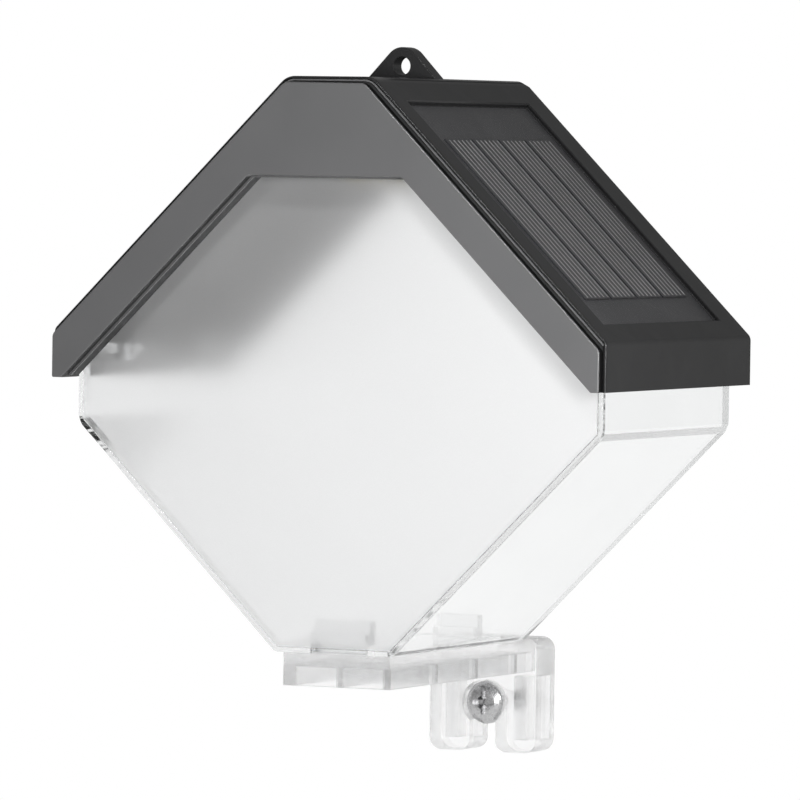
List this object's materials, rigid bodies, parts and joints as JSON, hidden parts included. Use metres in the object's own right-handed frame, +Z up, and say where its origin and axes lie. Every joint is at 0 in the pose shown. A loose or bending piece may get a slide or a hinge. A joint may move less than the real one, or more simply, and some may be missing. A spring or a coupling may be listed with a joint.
{
  "type": "solar hanging light",
  "caption": "House-shaped solar light: black roof with a solar panel over a clear six-sided body with a frosted pane, hung by a tab or a slotted clip-on wall bracket.",
  "frame": {"origin": "centre of the hanging tab's hole", "axes": "+X right seen from the front, +Y back towards the wall, +Z up"},
  "size_m": [0.125, 0.0965, 0.149],
  "materials": {
    "roof_black": "fine satin moulded black",
    "fascia_black": "satin moulded black",
    "clear_plastic": "clear and polished",
    "frosted_plastic": "frosted, with a fine sparkling grain",
    "screw_steel": "bright zinc plated",
    "foam": "closed cell foam",
    "panel_black": "black board",
    "solar_cell": "dark cell with fine silver lines",
    "panel_resin": "clear matt film",
    "tray_grey": "moulded dark grey",
    "battery_wrap": "shrink wrap",
    "contact_metal": "nickel plated spring steel",
    "board_white": "white solder mask",
    "led_phosphor": "yellow phosphor in a white cup",
    "chip_black": "moulded epoxy",
    "ferrite": "sintered ferrite",
    "capacitor_sleeve": "shrink sleeve",
    "button_rubber": "soft silicone",
    "wire_red": "wire insulation",
    "wire_blue": "wire insulation",
    "wire_white": "wire insulation",
    "small_screw_steel": "zinc plated"
  },
  "bodies": {
    "lamp": {"roof_shell": "roof_black", "front_fascia": "fascia_black", "rear_frame": "roof_black", "clear_body": "clear_plastic", "front_diffuser": "frosted_plastic", "panel_adhesive": "foam", "panel_backing": "panel_black", "solar_cells": "solar_cell", "panel_cover": "panel_resin", "electronics_tray": "tray_grey", "battery": "battery_wrap", "contact_spring": "contact_metal", "contact_plates": "contact_metal", "led_board": "board_white", "leds": "led_phosphor", "driver_chip": "chip_black", "inductor": "ferrite", "capacitor": "capacitor_sleeve", "switch_body": "chip_black", "panel_leads": "wire_red", "battery_leads": "wire_blue", "switch_leads": "wire_white", "eave_gaskets": "foam", "tray_screws": "small_screw_steel", "case_screws": "small_screw_steel", "rear_screws": "small_screw_steel", "board_screws": "small_screw_steel"},
    "bracket": {"wall_bracket": "clear_plastic"},
    "screw": {"wall_screw": "screw_steel"},
    "button": {"power_button": "button_rubber"}
  },
  "joints": [
    {"name": "bracket_slide", "type": "slide", "parent": "lamp", "child": "bracket", "axis": [0, 1, 0], "range_m": [0, 0.0025]},
    {"name": "screw_back_out", "type": "slide", "parent": "bracket", "child": "screw", "axis": [0, -1, 0], "range_m": [0, 0.004]},
    {"name": "button_press", "type": "slide", "parent": "lamp", "child": "button", "axis": [0, -1, 0], "range_m": [0, 0.001], "stiffness_N_per_m": 400}
  ]
}
